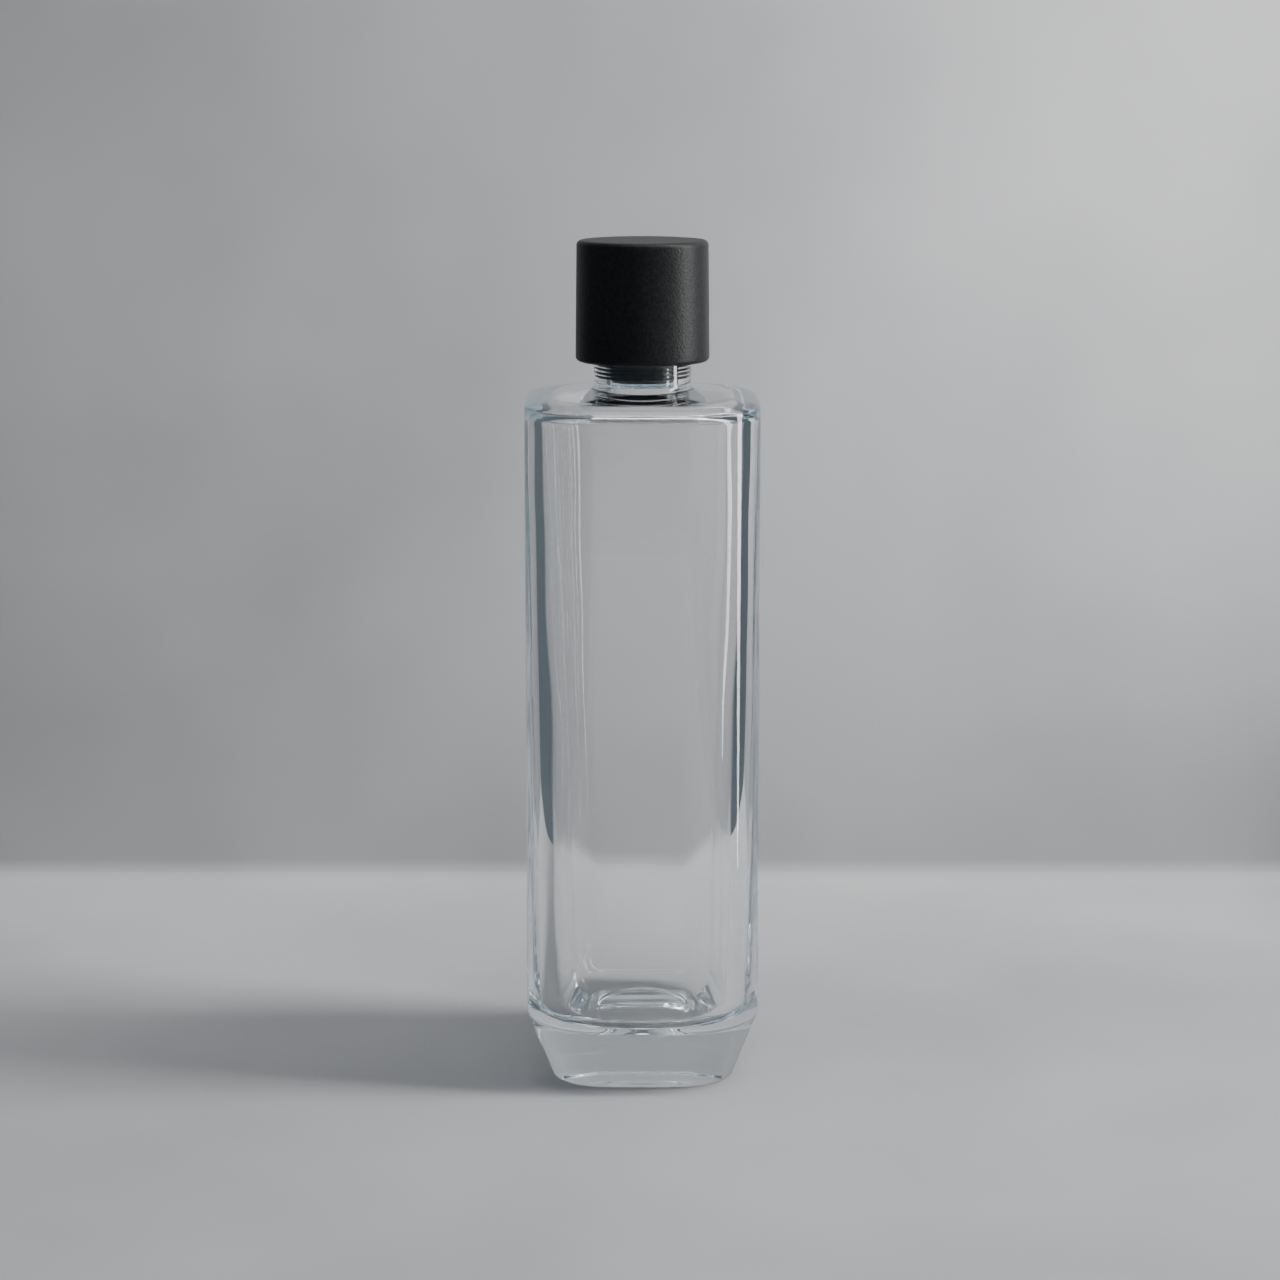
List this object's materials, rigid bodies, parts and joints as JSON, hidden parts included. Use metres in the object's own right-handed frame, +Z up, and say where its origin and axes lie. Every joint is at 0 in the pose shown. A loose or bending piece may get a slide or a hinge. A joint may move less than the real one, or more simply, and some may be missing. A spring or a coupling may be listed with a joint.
{
  "type": "aftershave bottle",
  "caption": "Tall square-shouldered clear glass splash bottle with a heavy tapered foot, a pour plug in its screw neck and a smooth black screw cap.",
  "frame": {"origin": "on the bottle's axis, in the plane that it stands on", "axes": "+Z up along the bottle's axis; +X and +Y square to its flat sides"},
  "size_m": [0.0428, 0.0428, 0.152],
  "materials": {
    "clear_glass": "polished, clear with a faint cool tint",
    "black_polyethylene": "moulded, with a soft waxy sheen",
    "white_foam": "fine closed-cell foam",
    "black_polypropylene": "moulded, semi-matt",
    "turned_steel": "turned, lightly oiled",
    "satin_black": "satin with a fine even grain"
  },
  "bodies": {
    "bottle": {"glass_bottle": "clear_glass", "pour_plug": "black_polyethylene"},
    "liner": {"cap_liner": "white_foam"},
    "cap": {"inner_cap": "black_polypropylene", "cap_weight": "turned_steel", "cap_shell": "satin_black"}
  },
  "joints": [
    {"name": "cap_lift", "type": "slide", "parent": "bottle", "child": "liner", "axis": [0, 0, 1], "range_m": [0, 0.0128]},
    {"name": "cap_turn", "type": "hinge", "parent": "liner", "child": "cap", "pos_m": [0, 0, 0.1418], "axis": [0, 0, 1], "range_deg": [0, 1440]}
  ],
  "couplings": [
    {"joint": "cap_lift", "follows": "cap_turn", "m_per_rad": 0.00050532}
  ]
}
